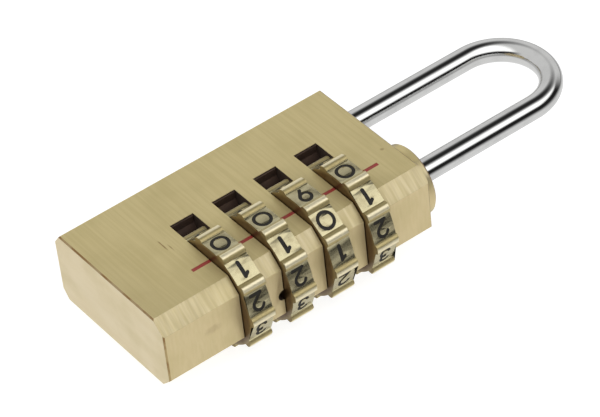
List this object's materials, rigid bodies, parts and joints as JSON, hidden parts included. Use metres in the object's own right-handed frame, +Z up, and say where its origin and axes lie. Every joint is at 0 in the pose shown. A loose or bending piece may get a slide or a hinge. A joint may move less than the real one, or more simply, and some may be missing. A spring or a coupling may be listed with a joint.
{
  "type": "combination padlock",
  "caption": "Small solid-brass padlock with numbered dials along one side and a round chromed shackle that slides out of one end.",
  "frame": {"origin": "under the middle of the closed lock's bounding box, at the height of the dials' lowest ridges", "axes": "+X along the lock from the plain end to the shackle's bow, +Y from the dial side to the back, +Z up out of the large face with the index line"},
  "size_m": [0.0778, 0.0281, 0.0166],
  "materials": {
    "body_brass": "brushed across its width, lightly marked",
    "dial_brass": "polished, with black-filled numbers",
    "hub_brass": "turned",
    "shackle_chrome": "bright plated steel",
    "zinc_steel": "zinc plated",
    "blued_spring_steel": "blued spring steel",
    "index_paint": "red paint in a shallow cut"
  },
  "bodies": {
    "case": {"body": "body_brass", "shackle_plug": "body_brass", "plug_pin": "zinc_steel", "detent_spring_1": "blued_spring_steel", "detent_spring_2": "blued_spring_steel", "detent_spring_3": "blued_spring_steel", "detent_spring_4": "blued_spring_steel", "spring_rivets": "zinc_steel", "thrust_washer": "zinc_steel", "return_spring": "zinc_steel", "index_marks": "index_paint"},
    "shackle": {"shackle": "shackle_chrome", "leg_clip": "zinc_steel"},
    "dial_1": {"dial_1": "dial_brass", "hub_1": "hub_brass"},
    "dial_2": {"dial_2": "dial_brass", "hub_2": "hub_brass"},
    "dial_3": {"dial_3": "dial_brass", "hub_3": "hub_brass"},
    "dial_4": {"dial_4": "dial_brass", "hub_4": "hub_brass"}
  },
  "joints": [
    {"name": "shackle_slide", "type": "slide", "parent": "case", "child": "shackle", "axis": [1, 0, 0], "range_m": [0, 0.007]},
    {"name": "dial_1_spin", "type": "hinge", "parent": "case", "child": "dial_1", "pos_m": [-0.02457, -0.00535, 0.00832], "axis": [1, 0, 0], "continuous": true, "deforming": ["detent_spring_1"]},
    {"name": "dial_2_spin", "type": "hinge", "parent": "case", "child": "dial_2", "pos_m": [-0.01752, -0.00535, 0.00832], "axis": [1, 0, 0], "continuous": true, "deforming": ["detent_spring_2"]},
    {"name": "dial_3_spin", "type": "hinge", "parent": "case", "child": "dial_3", "pos_m": [-0.01047, -0.00535, 0.00832], "axis": [1, 0, 0], "continuous": true, "deforming": ["detent_spring_3"]},
    {"name": "dial_4_spin", "type": "hinge", "parent": "case", "child": "dial_4", "pos_m": [-0.00343, -0.00535, 0.00832], "axis": [1, 0, 0], "continuous": true, "deforming": ["detent_spring_4"]}
  ]
}
